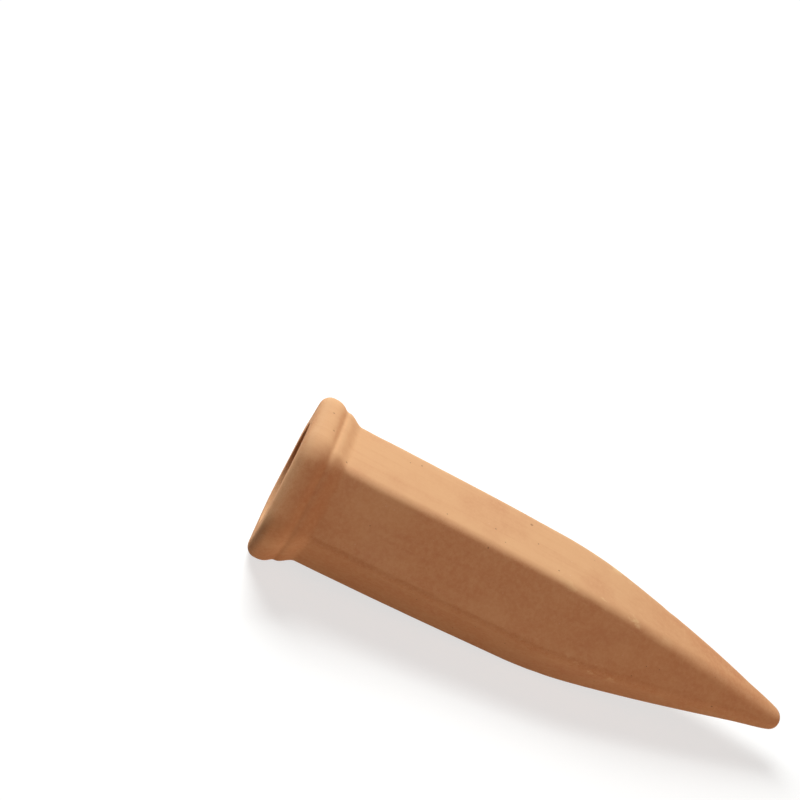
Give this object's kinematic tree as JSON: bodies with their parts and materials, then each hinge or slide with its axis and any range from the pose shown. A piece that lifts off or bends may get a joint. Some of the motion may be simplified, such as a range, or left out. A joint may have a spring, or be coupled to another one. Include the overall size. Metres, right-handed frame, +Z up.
{
  "type": "self watering spike",
  "caption": "Hollow six-sided terracotta stake with a rolled round lip, a collar and a long blunt point, which waters a pot plant from an upturned bottle.",
  "frame": {"origin": "on the ground under the middle of the spike as it lies on its lip and its shoulder", "axes": "+X from the mouth towards the tip, +Z up, one flat of the body faces up"},
  "size_m": [0.181, 0.0554, 0.0508],
  "materials": {
    "terracotta": "matte unglazed fired clay"
  },
  "bodies": {
    "root": {"spike_body": "terracotta"}
  },
  "joints": []
}
